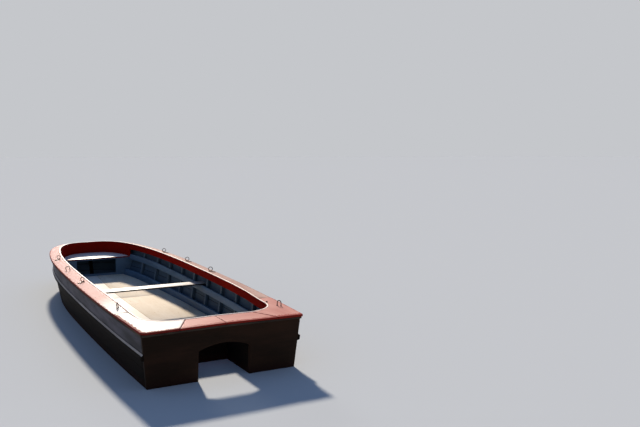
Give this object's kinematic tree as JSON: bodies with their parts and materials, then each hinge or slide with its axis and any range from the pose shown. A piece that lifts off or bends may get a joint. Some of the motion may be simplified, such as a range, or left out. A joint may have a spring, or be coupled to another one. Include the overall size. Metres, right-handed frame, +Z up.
{
  "type": "open flat-bottomed work skiff",
  "caption": "Open flat-bottomed wooden work skiff with a bluff round bow, red side decks, a thwart, a bow locker and a motor well behind an arched transom.",
  "frame": {"origin": "under the middle of the boat, on the plane of its flat bottom", "axes": "+X towards the bow, +Y to port, +Z up"},
  "size_m": [6.3, 1.7758, 0.7391],
  "materials": {
    "deck_paint": "worn matt paint",
    "coaming_paint": "matt paint",
    "hull_paint": "worn matt paint",
    "bottom_paint": "matt antifouling paint",
    "strake_paint": "worn matt paint",
    "moulding_wood": "weathered bare wood",
    "inside_paint": "matt paint",
    "floor_paint": "worn matt paint",
    "rusty_steel": "rusted"
  },
  "bodies": {
    "root": {"bilge_board_port": "inside_paint", "bilge_board_starboard": "inside_paint", "bottom_planking": "bottom_paint", "bow_deck_port": "deck_paint", "bow_deck_starboard": "deck_paint", "bulkhead": "inside_paint", "coaming_bow": "coaming_paint", "coaming_port": "coaming_paint", "coaming_starboard": "coaming_paint", "coaming_stern": "coaming_paint", "floor_panel_1_port": "floor_paint", "floor_panel_1_starboard": "floor_paint", "floor_panel_2_port": "floor_paint", "floor_panel_2_starboard": "floor_paint", "floor_panel_3_port": "floor_paint", "floor_panel_3_starboard": "floor_paint", "foredeck": "floor_paint", "foredeck_nosing": "coaming_paint", "frame_1": "inside_paint", "frame_2": "inside_paint", "frame_3": "inside_paint", "frame_4": "inside_paint", "frame_5": "inside_paint", "frame_6": "inside_paint", "frame_7": "inside_paint", "frame_8": "inside_paint", "frame_9": "inside_paint", "hoop_port_forward": "rusty_steel", "hoop_port_quarter": "rusty_steel", "hoop_starboard_quarter": "rusty_steel", "lower_side_port": "hull_paint", "lower_side_starboard": "hull_paint", "motor_board": "inside_paint", "quarter_deck_port": "deck_paint", "quarter_deck_starboard": "deck_paint", "ring_port_aft": "rusty_steel", "ring_port_forward": "rusty_steel", "ring_starboard_aft": "rusty_steel", "ring_starboard_forward": "rusty_steel", "ring_starboard_middle": "rusty_steel", "rub_strake_port": "hull_paint", "rub_strake_starboard": "hull_paint", "sheer_moulding_port": "moulding_wood", "sheer_moulding_starboard": "moulding_wood", "side_deck_port": "deck_paint", "side_deck_starboard": "deck_paint", "stem": "hull_paint", "stern_deck_port": "deck_paint", "stern_deck_starboard": "deck_paint", "stringer_port": "inside_paint", "stringer_starboard": "inside_paint", "thwart": "floor_paint", "transom": "hull_paint", "transom_moulding": "moulding_wood", "upper_side_port": "strake_paint", "upper_side_starboard": "strake_paint", "well_side_port": "inside_paint", "well_side_starboard": "inside_paint"}
  },
  "joints": []
}
